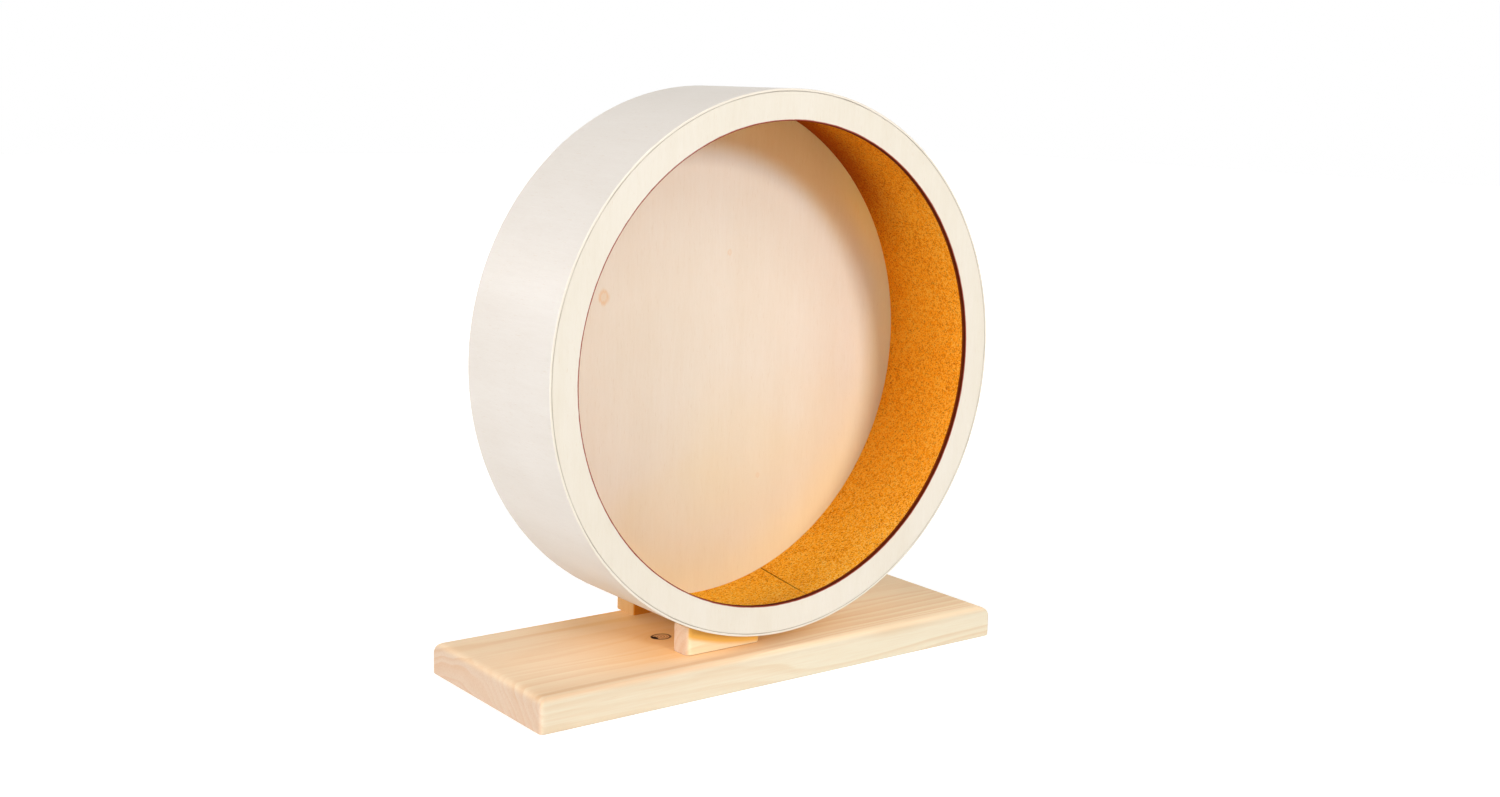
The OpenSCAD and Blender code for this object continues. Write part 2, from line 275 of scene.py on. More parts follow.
def softbox(name, colour, azimuth, elevation, strength, wide, high):
    """A rectangular lamp that shines at the drum. Its size is given as seen from there, in degrees."""
    energy = strength * math.pi * SOFTBOX_DISTANCE**2
    lamp = add_lamp(name, "AREA", colour, azimuth, elevation, energy)
    lamp.data.shape = "RECTANGLE"
    lamp.data.size = 2 * SOFTBOX_DISTANCE * math.tan(math.radians(wide / 2))
    lamp.data.size_y = 2 * SOFTBOX_DISTANCE * math.tan(math.radians(high / 2))
    away = Vector((0, 0, SOFTBOX_DISTANCE))
    away.rotate(lamp.rotation_euler)
    lamp.location = away + Vector((0, 0, AXLE_Z))


def make_light():
    softbox("key_low", WARM, azimuth=4, elevation=15.4, strength=1.7, wide=12, high=11)
    softbox("key_high", WARMER, azimuth=8, elevation=37, strength=0.62, wide=40, high=24)
    sun("left_front", WARM, azimuth=-46, elevation=3, strength=0.3, softness=44)
    sun("left", COOL, azimuth=-72, elevation=12, strength=0.98, softness=40)
    sun("left_side", COOLER, azimuth=-86, elevation=30, strength=1.02, softness=24)
    sun("left_high", WHITE, azimuth=-60, elevation=38, strength=0.3, softness=40)
    sun("left_rear", COOL, azimuth=-151, elevation=14, strength=0.5, softness=9)
    unreflected = [
        sun("right_low", WHITE, azimuth=100, elevation=9, strength=1.12, softness=20),
        sun("back", WHITE, azimuth=160, elevation=38, strength=0.1, softness=50),
        sun("back_low", WHITE, azimuth=172, elevation=4, strength=2.2, softness=20),
    ]
    for lamp in unreflected:
        lamp.visible_glossy = False
    world = bpy.data.worlds.new("studio")
    bpy.context.scene.world = world
    world.use_nodes = True
    tree = world.node_tree
    seen = shown_rays(tree, "Is Camera Ray", "Is Glossy Ray", "Is Transmission Ray")
    strength = math_node(tree, "MULTIPLY_ADD", seen, 1 - WORLD_LIGHT, WORLD_LIGHT)
    wire(tree, tree.nodes["Background"], {"Strength": strength, "Color": WHITE + (1,)})


def make_floor():
    """A pale matt sheet for the object, shown as white with a faint shadow close to the base."""
    corners = [(x * FLOOR_HALF, y * FLOOR_HALF, 0) for x, y in ((-1, -1), (1, -1), (1, 1), (-1, 1))]
    floor = mesh_object("floor", [corners], [(0, 1, 2, 3)])
    floor.location.z = -FLOOR_DROP
    material = bpy.data.materials.new("floor_white")
    material.use_nodes = True
    tree = material.node_tree
    tree.nodes.clear()
    away = tree.nodes.new("ShaderNodeVectorMath")
    away.operation = "LENGTH"
    wire(tree, away, {0: new_node(tree, "TexCoord").outputs["Object"]})
    reach = tree.nodes.new("ShaderNodeMapRange")
    reach.interpolation_type = "SMOOTHSTEP"
    wire(tree, reach, {"Value": away.outputs["Value"], "To Min": FLOOR_GLOW_LOW, "To Max": 1.0})
    wire(tree, reach, {"From Min": FLOOR_GLOW_NEAR, "From Max": FLOOR_GLOW_FAR})
    glow = new_node(tree, "Emission", {"Color": WHITE + (1,), "Strength": reach.outputs["Result"]})
    shade = new_node(tree, "BsdfDiffuse", {"Color": FLOOR_SHADE})
    shown = new_node(tree, "AddShader", {0: shade.outputs[0], 1: glow.outputs[0]})
    bounce = new_node(tree, "BsdfDiffuse", {"Color": FLOOR_BOUNCE})
    seen = shown_rays(tree, "Is Camera Ray", "Is Glossy Ray")
    mixed = new_node(tree, "MixShader", {0: seen, 1: bounce.outputs[0], 2: shown.outputs[0]})
    new_node(tree, "OutputMaterial", {"Surface": mixed.outputs[0]})
    floor.data.materials.append(material)


# Mesh helpers
def mesh_object(name, rows, faces):
    """A new object from rows of points. Faces count the points row after row."""
    mesh = bpy.data.meshes.new(name)
    mesh.from_pydata([point for row in rows for point in row], [], faces)
    mesh.validate()
    mesh.update()
    return in_scene(name, mesh)


def finish_mesh(piece, crease=32):
    """Faces outwards, smooth shading, and creases above an angle in degrees."""
    weld = 1e-7
    work = bmesh.new()
    work.from_mesh(piece.data)
    bmesh.ops.remove_doubles(work, verts=work.verts, dist=weld)
    bmesh.ops.recalc_face_normals(work, faces=work.faces)
    work.to_mesh(piece.data)
    work.free()
    piece.data.shade_smooth()
    piece.data.set_sharp_from_angle(angle=math.radians(crease))
    piece.data.update()
    return piece


def quads(rows, count, close_rows, close_count=True):
    """Faces between rows of count points each. Closing joins the last row or point to the first."""
    faces = []
    for i in range(rows if close_rows else rows - 1):
        a, b = i * count, (i + 1) % rows * count
        for j in range(count if close_count else count - 1):
            k = (j + 1) % count
            faces.append((a + j, a + k, b + k, b + j))
    return faces


def swept(name, rows, close_rows=False, crease=32):
    """A body from closed outlines of as many points each. Rows that don't close get a cap at both ends."""
    count = len(rows[0])
    faces = quads(len(rows), count, close_rows)
    if not close_rows:
        last = (len(rows) - 1) * count
        faces += [tuple(range(count)), tuple(range(last, last + count))]
    return finish_mesh(mesh_object(name, rows, faces), crease)


def spun(name, rows):
    """A body from open outlines that stand round an axis, with a face over each of its two ends."""
    count = len(rows[0])
    faces = quads(len(rows), count, close_rows=True, close_count=False)
    faces += [tuple(i * count + end for i in range(len(rows))) for end in (0, count - 1)]
    return finish_mesh(mesh_object(name, rows, faces))


def turns(segments):
    """Angles once round, in equal steps from 0."""
    return [2 * math.pi * i / segments for i in range(segments)]


def on_axle(angle, radius, y):
    """A point round the axle. Angle 0 is the lowest point, and it grows towards +X."""
    return (radius * math.sin(angle), y, AXLE_Z - radius * math.cos(angle))


def fillet(corners, steps=4, guard=0.25 * MM):
    """A closed outline with round corners. Each corner is (u, v, radius)."""
    outline = []
    count = len(corners)
    for i, (u, v, radius) in enumerate(corners):
        here = Vector((u, v))
        before = Vector(corners[i - 1][:2]) - here
        after = Vector(corners[(i + 1) % count][:2]) - here
        if radius <= 0:
            outline.append(here)
            continue
        half = before.angle(after) / 2
        reach = radius / math.tan(half)
        before_dir = before.normalized()
        after_dir = after.normalized()
        centre = here + (before_dir + after_dir).normalized() * (radius / math.sin(half))
        start = here + before_dir * reach - centre
        sweep = start.angle_signed(here + after_dir * reach - centre)
        if before.length > 2 * (reach + guard):
            outline.append(here + before_dir * (reach + guard))
        for k in range(steps + 1):
            outline.append(centre + Matrix.Rotation(-sweep * k / steps, 2) @ start)
        if after.length > 2 * (reach + guard):
            outline.append(here + after_dir * (reach + guard))
    return outline


def flat_ring(name, inner, outer, low, high, rounds, segments, seam=None):
    """A ring round the axle. rounds are its edges' radii in millimetres: inner low and high, outer
    high and low. A seam (angle, width) leaves a slit."""
    corners = ((inner, low), (inner, high), (outer, high), (outer, low))
    outline = fillet([(r, y, size * MM) for (r, y), size in zip(corners, rounds)])
    if seam:
        slit = seam[1] / DRUM_R
        first = seam[0] + slit / 2
        angles = [first + (2 * math.pi - slit) * i / segments for i in range(segments + 1)]
    else:
        angles = turns(segments)
    rows = [[on_axle(angle, radius, y) for radius, y in outline] for angle in angles]
    return swept(name, rows, close_rows=not seam)


def capped_lathe(name, outline, segments):
    """Turns an open outline of (radius, y) that starts and ends near the axle, and closes both ends."""
    return spun(name, [[on_axle(angle, radius, y) for radius, y in outline] for angle in turns(segments)])


def radial_wall(name, ys, radius_at, bore, segments):
    """A body round the axle whose radius is radius_at(angle, y), with a round bore."""
    angles = turns(segments)
    wall = [[on_axle(angle, radius_at(angle, y), y) for angle in angles] for y in ys]
    first, last = ([on_axle(angle, bore, y) for angle in angles] for y in (ys[0], ys[-1]))
    return swept(name, [first] + wall + [last], close_rows=True)


def rounding(low, high, low_r, high_r, steps, guard=0.4 * MM):
    """Pairs of (inset, height) that go up the side of a board with two rounded edges."""
    quarter = [math.pi / 2 * k / steps for k in range(steps + 1)]
    pairs = [(low_r + guard, low)]
    pairs += [(low_r * (1 - math.sin(turn)), low + low_r * (1 - math.cos(turn))) for turn in quarter]
    pairs += [(high_r * (1 - math.cos(turn)), high - high_r * (1 - math.sin(turn))) for turn in quarter]
    return pairs + [(high_r + guard, high)]


def rounded_rectangle(half_u, half_v, corner, inset, steps=8, least=1.5 * MM):
    """Points round a rectangle with round corners, moved inwards by inset."""
    radius = max(corner - inset, least)
    u, v = half_u - inset - radius, half_v - inset - radius
    points = []
    for quarter, (cu, cv) in enumerate(((u, v), (-u, v), (-u, -v), (u, -v))):
        for k in range(steps + 1):
            turn = math.pi / 2 * (quarter + k / steps)
            points.append((cu + radius * math.cos(turn), cv + radius * math.sin(turn)))
    return points


def cut(piece, cutters):
    """Takes cutters away from piece, and removes them."""
    for cutter in cutters:
        modifier = piece.modifiers.new("cut", "BOOLEAN")
        modifier.operation = "DIFFERENCE"
        modifier.solver = "EXACT"
        modifier.object = cutter
    graph = bpy.context.evaluated_depsgraph_get()
    mesh = bpy.data.meshes.new_from_object(piece.evaluated_get(graph))
    piece.modifiers.clear()
    piece.data = mesh
    for cutter in cutters:
        bpy.data.objects.remove(cutter)
    return finish_mesh(piece, crease=40)


def screw_cutters(places, diameter, tip):
    """The holes of countersunk screws that go up from the underside of the base."""
    r = diameter / 2
    outline = [
        (2 * r + SCREW_FIT, -1 * MM),
        (2 * r + SCREW_FIT, SCREW_SINK),
        (r + SCREW_FIT, SCREW_SINK + r),
        (r + SCREW_FIT, tip - diameter),
        (r * 0.2 + SCREW_FIT, tip + SCREW_FIT),
    ]
    cutters = []
    for x, y in places:
        rows = [[(x + u * math.cos(a), y + u * math.sin(a), z) for u, z in outline] for a in turns(48)]
        cutters.append(spun("cutter", rows))
    return cutters


def dress(piece, material, slot, body, *nodes):
    """Gives a piece its material, its body and the nodes that it stands for. Its record slot is not used.
    """
    piece.data.materials.clear()
    piece.data.materials.append(material)
    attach(piece, body)
    if nodes:
        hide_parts(*nodes)


# Material helpers
def wire(tree, node, values):
    """Fills the inputs of a node: a socket is linked, and any other value is set."""
    for name, value in values.items():
        if isinstance(value, bpy.types.NodeSocket):
            tree.links.new(value, node.inputs[name])
        else:
            node.inputs[name].default_value = value
    return node


def new_node(tree, kind, values=None):
    return wire(tree, tree.nodes.new("ShaderNode" + kind), values or {})


def math_node(tree, operation, *values):
    node = tree.nodes.new("ShaderNodeMath")
    node.operation = operation
    return wire(tree, node, dict(enumerate(values))).outputs[0]


def shown_rays(tree, first, *kinds):
    """1 for the named kinds of ray, which show a thing, and 0 for those by which it lights other things."""
    path = new_node(tree, "LightPath")
    seen = path.outputs[first]
    for kind in kinds:
        seen = math_node(tree, "MAXIMUM", seen, path.outputs[kind])
    return seen


def darkened(colour, share):
    return tuple(c * share for c in colour[:3]) + (1.0,)


class Finish:
    """One procedural material, with short names for the nodes that it uses. A scale is roughly marks
    per metre, and band, fade and hump take the values between which a share changes."""

    def __init__(self, name, roughness, specular, metallic=0.0):
        self.material = bpy.data.materials.new(name)
        self.material.use_nodes = True
        self.tree = self.material.node_tree
        self.shader = self.tree.nodes["Principled BSDF"]
        values = {"Roughness": roughness, "Specular IOR Level": specular, "Metallic": metallic}
        wire(self.tree, self.shader, values)
        where = self.node("TexCoord")
        self.place = where.outputs["Object"]
        self.x, self.y, self.z = self.split(self.place)
        self.facing = self.split(where.outputs["Normal"])

    def node(self, kind, values=None):
        return new_node(self.tree, kind, values)

    def split(self, vector):
        return self.node("SeparateXYZ", {0: vector}).outputs

    def room(self):
        """The place in the room as x, y and z. Painted light and shade placed by it don't turn with the
        wheel.
        """
        return self.split(self.node("NewGeometry").outputs["Position"])

    def math(self, operation, *values):
        return math_node(self.tree, operation, *values)

    def add(self, total, *values):
        for value in values:
            total = self.math("ADD", total, value)
        return total

    def times(self, product, *values):
        for value in values:
            product = self.math("MULTIPLY", product, value)
        return product

    def minus(self, a, b):
        return self.math("SUBTRACT", a, b)

    def blend(self, *parts):
        """The sum of (value, share) pairs."""
        return self.add(*[self.times(value, share) for value, share in parts])

    def swing(self, value, reach):
        """A value of 0 to 1 as a shift to both sides, reach wide in all."""
        return self.times(self.minus(value, 0.5), reach)

    def length(self, u, v):
        return self.math("SQRT", self.add(self.times(u, u), self.times(v, v)))

    def radius(self):
        """Distance from the axle."""
        return self.length(self.x, self.minus(self.z, AXLE_Z))

    def spot(self, centre_u, centre_v, u, v, half_u, half_v):
        """0 at a point, 1 on the ellipse round it, and growing outside."""
        du = self.math("DIVIDE", self.minus(u, centre_u), half_u)
        dv = self.math("DIVIDE", self.minus(v, centre_v), half_v)
        return self.length(du, dv)

    def vector(self, x, y, z):
        return self.node("CombineXYZ", {0: x, 1: y, 2: z}).outputs[0]

    def stretch(self, vector, scale, shift=(0, 0, 0)):
        return self.node("Mapping", {"Vector": vector, "Scale": scale, "Location": shift}).outputs[0]

    def noise(self, vector, scale, detail=2.0, rough=0.5, distortion=0.0):
        node = self.node("TexNoise", {"Vector": vector, "Scale": scale, "Detail": detail})
        wire(self.tree, node, {"Roughness": rough, "Distortion": distortion})
        return node.outputs["Fac"]

    def streaks(self, vector, grain, close, detail, rough=0.5, distortion=0.0):
        """Noise with long marks in the direction where grain is small."""
        scale = [g * close for g in grain]
        return self.noise(self.stretch(vector, scale), 1.0, detail, rough, distortion)

    def cells(self, scale, output, feature="F1"):
        node = self.node("TexVoronoi")
        node.feature = feature
        return wire(self.tree, node, {"Vector": self.place, "Scale": scale}).outputs[output]

    def ramp(self, value, *stops):
        """A colour for each value. A stop is (position, colour)."""
        node = self.node("ValToRGB", {0: value})
        elements = node.color_ramp.elements
        while len(elements) < len(stops):
            elements.new(0.5)
        for element, (position, colour) in zip(elements, stops):
            element.position = position
            element.color = colour
        return node.outputs["Color"]

    def band(self, value, low, high, to_low=0.0, to_high=1.0, smooth=True):
        """The value moved from low..high to to_low..to_high, and kept inside."""
        node = self.node("MapRange", {"Value": value, "From Min": low, "From Max": high})
        node.interpolation_type = "SMOOTHSTEP" if smooth else "LINEAR"
        return wire(self.tree, node, {"To Min": to_low, "To Max": to_high}).outputs["Result"]

    def fade(self, value, low, high, full=1.0):
        """Full up to low, and 0 from high on."""
        return self.band(value, low, high, full, 0)

    def hump(self, value, low, top_from, top_to, high):
        """Rises to 1 between low and top_from, and falls back to 0 between top_to and high."""
        return self.times(self.band(value, low, top_from), self.fade(value, top_to, high))

    def front(self, full=-0.9, none=-0.3):
        """1 on faces that look to the front, and 0 on the others."""
        return self.fade(self.facing[1], full, none)

    def left(self):
        return self.fade(self.facing[0], -0.9, -0.3)

    def top(self):
        return self.band(self.facing[2], 0.5, 0.9)

    def axial(self):
        """How squarely a face looks along the axle, from 0 to 1."""
        return self.math("ABSOLUTE", self.facing[1])

    def mix(self, share, a, b, blend="MIX"):
        node = self.node("Mix")
        node.data_type = "RGBA"
        node.blend_type = blend
        return wire(self.tree, node, {0: share, 6: a, 7: b}).outputs[2]

    def tint(self, share, colour, by):
        return self.mix(share, colour, by, "MULTIPLY")

    def bump(self, height, depth, strength):
        return self.node("Bump", {"Strength": strength, "Distance": depth, "Height": height}).outputs[0]

    def set(self, colour, roughness, normal, specular=None):
        wire(self.tree, self.shader, {"Base Color": colour, "Roughness": roughness, "Normal": normal})
        if specular is not None:
            wire(self.tree, self.shader, {"Specular IOR Level": specular})
        return self.material


# Birch
def birch(name, pale, deep, grain, edge=None, face=None, roughness=0.58, shine=BIRCH_SHINE):
    """Sanded birch veneer. grain stretches its fibres, edge(f, colour) paints its cut edges, and
    face(f, colour) the marks on its front."""
    f = Finish(name, roughness, shine)
    fleck_share = 0.2
    f.cloud = f.noise(f.place, scale=14)
    f.fibre = f.streaks(f.place, grain, close=70, detail=4, rough=0.6)
    f.fine = f.streaks(f.place, grain, close=330, detail=2, rough=0.6)
    broad = f.streaks(f.place, grain, close=6, detail=3, rough=0.55, distortion=0.6)
    flecks = f.band(f.streaks(f.place, grain, close=260, detail=1), 0.66, 0.76)
    tone = f.blend((broad, 0.3), (f.cloud, 0.3), (f.fibre, 0.25), (f.fine, 0.15))
    colour = f.ramp(tone, (0.36, deep), (0.62, pale))
    colour = f.mix(f.times(flecks, fleck_share), colour, BIRCH_FLECK)
    if face is not None:
        colour = face(f, colour)
    specular = None
    if edge is not None:
        colour, burnt = edge(f, colour)
        specular = f.band(burnt, 0.0, 1.0, shine, BURNT_SHINE, smooth=False)
    height = f.blend((f.fibre, 0.5), (f.fine, 0.5))
    rough = f.band(f.fibre, 0.25, 0.75, roughness - 0.06, roughness + 0.08)
    return f.set(colour, rough, f.bump(height, depth=0.06 * MM, strength=0.5), specular)


def skin_edge(f, colour):
    """The skin's sanded edges, and the glue line between the front one and the ring."""
    glue_wander = 0.9 * MM
    glue_from = SKIN_IR + 0.15 * MM
    glue_to = SKIN_IR + 0.5 * MM
    layer = f.mix(f.times(f.noise(f.place, scale=900), 0.3), RING_PALE, SKIN_LAYER)
    joint = f.add(f.radius(), f.swing(f.noise(f.place, scale=40, detail=3), glue_wander))
    glue = f.fade(joint, glue_from, glue_to, full=0.8)
    layer = f.mix(glue, layer, GLUE_LINE)
    return f.mix(f.band(f.axial(), 0.5, 0.8), colour, layer), 0.0


def ring_edge(f, colour):
    """The inner edge that a laser burnt, with a thin scorched line on the face next to it."""
    scorch_wander = 0.5 * MM
    scorch_from = RING_IR + 0.45 * MM
    scorch_to = RING_IR + 0.95 * MM
    r = f.radius()
    wander = f.noise(f.place, scale=220, detail=3)
    on_wall = f.times(f.fade(f.axial(), 0.55, 0.9), f.fade(r, RING_IR + 2 * MM, RING_IR + 3 * MM))
    along = f.math("DIVIDE", f.minus(f.y, RING_LOW.y), RING_HIGH.y - RING_LOW.y)
    core = f.hump(along, 0.5, 0.7, 0.85, 1.0)
    burnt = f.ramp(f.blend((core, 0.45), (wander, 0.4)), (0.15, BURN_DARK), (0.75, BURN_LIGHT))
    scorch = f.fade(f.add(r, f.swing(wander, scorch_wander)), scorch_from, scorch_to, full=0.95)
    return f.mix(on_wall, f.mix(scorch, colour, SCORCH), burnt), on_wall


def hub_edge(f, colour):
    """Six plies round the edge of the hub plate, browned by the laser."""
    two_plies = 2.667 * MM
    ply = f.math("FRACT", f.math("DIVIDE", f.minus(f.y, HUB_LOW.y), two_plies))
    layer = f.hump(ply, 0.42, 0.5, 0.92, 1.0)
    wander = f.streaks(f.place, (300, 60, 300), close=1, detail=3)
    wall = f.ramp(f.blend((layer, 0.5), (wander, 0.5)), (0.2, PLY_LIGHT), (0.8, PLY_DARK))
    on_wall = f.fade(f.axial(), 0.4, 0.7)
    return f.mix(on_wall, colour, wall), on_wall


def disc_face(f, colour):
    """The marks on the disc's front: stains, the first partly painted bounce light, the painted light and
    shade near its rim, and small knots.
    """
    front = f.front(-0.5, 0.0)
    # The first stain is partly painted orange bounce light from the cork
    for x, z, half_x, half_z, strength in DISC_STAINS_AND_BOUNCE:
        away = f.add(f.spot(x, z, f.x, f.z, half_x, half_z), f.swing(f.cloud, 1.2))
        colour = f.mix(f.times(front, f.fade(away, 0.1, 1.4, full=strength)), colour, BIRCH_STAIN_AND_BOUNCE)
    colour = disc_rim_painted_light(f, colour, front)
    for x, z, half, strength in DISC_KNOTS:
        away = f.spot(x, z, f.x, f.z, half, half * 1.25)
        away = f.add(away, f.swing(f.fine, 1.1), f.swing(f.fibre, 0.7))
        ring = f.hump(away, 0.3, 0.8, 0.8, 1.5)
        heart = f.fade(away, 0.1, 1.5)
        share = f.math("MAXIMUM", f.times(ring, strength), f.times(heart, strength * 0.5))
        colour = f.mix(f.times(share, front), colour, BIRCH_KNOT)
    return colour


def disc_rim_painted_light(f, colour, front):
    """Painted light and shade near the disc's rim: orange bounce light from the cork all round it, warm
    painted shadow at its upper right, and painted bounce light at its right side. The last two stay
    in their place when the wheel turns."""
    rim_from = 108 * MM
    to_right, upwards = 0.4, 0.9
    r = f.radius()
    # Painted orange bounce light from the cork, all round the rim
    colour = f.tint(f.times(front, f.band(r, rim_from, PANEL_R)), colour, DISC_RIM_PAINTED_BOUNCE)
    # Painted warm shadow at the upper right, and painted bounce light at the right side, held in place in
    # the room
    x, _, z = f.room()
    up = f.blend((x, to_right), (f.minus(z, AXLE_Z), upwards))
    share = f.times(front, f.band(r, rim_from, 123 * MM), f.band(up, 76 * MM, 122 * MM))
    colour = f.tint(share, colour, DISC_UPPER_PAINTED_SHADE)
    side = f.times(f.band(x, 84 * MM, 122 * MM), f.band(r, 122 * MM, 142 * MM))
    side = f.times(side, f.band(z, AXLE_Z - 60 * MM, AXLE_Z + 20 * MM))
    return f.tint(f.times(front, side), colour, DISC_SIDE_PAINTED_BOUNCE)


# Pine
def pine(name, pith, under, over, along="X", seed=0.0, knot=None):
    """Planed pine with growth rings round a pith line that runs along X or Z. under(f, colour) tones
    the wood, over(f, colour, height) paints what lies on it, and knot(f) is the distance to a knot."""
    f = Finish(name, roughness=0.55, specular=PINE_SHINE)
    if along == "X":
        across, ends = (f.y, f.z), f.facing[0]
        slow, fibres = (2.2, 14, 14), (26, 900, 900)
    else:
        across, ends = (f.x, f.y), f.facing[2]
        slow, fibres = (14, 14, 2.2), (900, 900, 26)
    shifted = f.stretch(f.place, (1, 1, 1), shift=(seed, seed * 0.7, seed * 1.3))
    f.bend = f.streaks(shifted, slow, close=1, detail=3, rough=0.45, distortion=0.4)
    f.ripple = f.streaks(shifted, slow, close=5, detail=2)
    f.fine = f.streaks(shifted, fibres, close=2.6, detail=2)
    fibre = f.streaks(shifted, fibres, close=1, detail=3, rough=0.6)
    patchy = f.band(f.streaks(shifted, slow, close=1.7, detail=2), 0.3, 0.7, 0.2, 0.9)
    late = f.times(year_rings(f, across, pith, seed, knot), patchy)
    tone = f.blend((f.bend, 0.6), (fibre, 0.4))
    colour = f.ramp(tone, (0.36, PINE_DEEP), (0.62, PINE_PALE))
    colour = under(f, f.mix(f.times(late, 0.5), colour, PINE_LATE))
    colour = f.mix(f.times(f.band(f.fine, 0.62, 0.74), 0.12), colour, PINE_DASH)
    colour, height = over(f, colour, f.blend((late, 0.6), (fibre, 0.4)))
    end_colour = f.mix(f.times(late, 0.6), PINE_END, PINE_END_LATE)
    pores = f.band(f.noise(f.place, scale=1300), 0.4, 0.75, 0, 0.3)
    end_colour = f.mix(pores, end_colour, PINE_END_PORE)
    end = f.band(f.math("ABSOLUTE", ends), 0.5, 0.95)
    colour = f.mix(f.times(end, 0.75), colour, end_colour)
    rough = f.band(fibre, 0.2, 0.8, 0.48, 0.66)
    return f.set(colour, rough, f.bump(height, depth=0.1 * MM, strength=0.5))


def year_rings(f, across, pith, seed, knot):
    """The dark late wood of each year's ring. The rings bend slowly, ripple, and swell round a knot."""
    year_w = 5.2 * MM
    bends = 30 * MM
    ripples = 2.4 * MM
    knot_swelling = 9 * MM
    unevenness = 14 * MM
    euler = 2.718
    r = f.length(f.minus(across[0], pith[0]), f.minus(across[1], pith[1]))
    r = f.add(r, f.swing(f.bend, bends), f.swing(f.ripple, ripples))
    if knot is not None:
        away = knot(f)
        swell = f.math("POWER", euler, f.times(away, away, -0.32))
        r = f.add(r, f.times(swell, knot_swelling))
    uneven = f.noise(f.vector(r, 0.0, seed), scale=110)
    r = f.add(r, f.swing(uneven, unevenness))
    return f.hump(f.math("FRACT", f.math("DIVIDE", r, year_w)), 0.15, 0.84, 0.84, 1.0)


def base_under(f, colour):
    """The base's warm middle, a heartwood tone that also stands for painted warm shade under the drum, and
    a brown streak along its front.
    """
    warm_x = -22 * MM
    warm_wander = 40 * MM
    streak_wander = 3 * MM
    along = f.math("ABSOLUTE", f.add(f.x, f.swing(f.bend, warm_wander), -warm_x))
    # Warm heartwood tone that also stands for painted warm shade under the drum, behind the front strip
    warm_heart_and_shade = f.times(f.fade(along, 15 * MM, 105 * MM, full=0.61), f.band(f.y, -47 * MM, -34 * MM))
    colour = f.mix(warm_heart_and_shade, colour, PINE_HEART_AND_SHADE)
    wander = f.noise(f.vector(f.x, 0.0, 0.0), scale=16)
    line = f.add(f.minus(f.y, STREAK_Y), f.swing(wander, streak_wander))
    line = f.fade(f.math("ABSOLUTE", line), 0.0, STREAK_HALF_W)
    line = f.times(line, f.band(f.x, -60 * MM, 40 * MM, 1.0, 0.25), f.top())
    return f.mix(f.times(line, 0.42), colour, PINE_STREAK)


def base_over(f, colour, height):
    """The base's knot, its cooler front, and painted light on the top of its middle and right."""
    colour, height = paint_knot(f, colour, height)
    colour = f.tint(f.front(), colour, BASE_FRONT_TINT)
    # Painted light: the top is lightened from the middle to the right end
    right = f.times(f.band(f.x, -75 * MM, -20 * MM), f.top())
    return f.tint(right, colour, BASE_RIGHT_PAINTED_LIGHT), height


def from_knot(f):
    return f.spot(KNOT_X, KNOT_Y, f.x, f.y, KNOT_HALF_X, KNOT_HALF_Y)


def paint_knot(f, colour, height):
    """A knot in the base: a warm halo, rings, a ragged line of bark, and a dark crack at its left."""
    away = from_knot(f)
    wobble = f.add(away, f.swing(f.ripple, 0.5), f.swing(f.fine, 0.12))
    colour = f.mix(f.fade(away, 0.9, 4.2, full=0.5), colour, KNOT_HALO)
    heart = f.fade(wobble, 0.6, 0.85)
    rings = f.band(f.math("SINE", f.times(wobble, 22)), -0.4, 0.8, 0, 0.6)
    colour = f.mix(f.times(heart, 0.5), colour, KNOT_HEART)
    colour = f.mix(f.times(heart, rings), colour, KNOT_RING)
    bark = f.hump(wobble, 0.74, 0.9, 0.98, 1.12)
    side = f.band(f.x, KNOT_X - KNOT_HALF_X, KNOT_X + KNOT_HALF_X * 0.7, 1.0, 0.85)
    colour = f.mix(f.times(bark, side), colour, KNOT_BARK)
    crack = f.spot(KNOT_X - KNOT_HALF_X * 0.78, KNOT_Y, f.x, f.y, KNOT_HALF_X * 0.34, KNOT_HALF_Y * 0.6)
    crack = f.fade(f.add(crack, f.times(f.fine, 0.4)), 0.9, 1.3)
    colour = f.mix(crack, colour, KNOT_CRACK)
    return colour, f.minus(height, f.times(f.math("MAXIMUM", bark, crack), 1.5))


def post_under(f, colour):
    return f.mix(0.35, colour, PINE_HEART_AND_SHADE)


def post_over(f, colour, height):
    """The upright's toning: an even darker tone all over, and painted shade at its foot, on its left side
    and its front, where the drum's shadow falls.
    """
    # Painted shade at the foot, where the drum shades it
    low = f.fade(f.z, 45 * MM, 120 * MM)
    colour = f.tint(f.times(low, f.left()), colour, POST_LEFT_PAINTED_SHADE)
    colour = f.tint(f.times(low, f.front()), colour, POST_FRONT_PAINTED_SHADE)
    return f.tint(1.0, colour, POST_TINT), height


def block_painted_shadow(f, colour):
    """Painted warm shadow of the drum's edge on the block's upper front, close under the drum."""
    # Painted shadow: within a few millimetres of the drum, on faces that look to the front
    near = f.fade(f.radius(), DRUM_R + 5.5 * MM, DRUM_R + 8.5 * MM)
    return f.mix(f.times(near, f.band(f.facing[1], -0.9, -0.5, 1, 0.1)), colour, PINE_HEART_AND_SHADE)


def block_over(f, colour, height):
    """The block's cooler front, and the dark joint line at its foot."""
    colour = f.tint(f.front(), colour, BLOCK_FRONT_TINT)
    line = f.fade(f.z, STOP_LOW.z + 0.1 * MM, STOP_LOW.z + 0.45 * MM, full=0.7)
    return f.mix(line, colour, FOOT_LINE), height


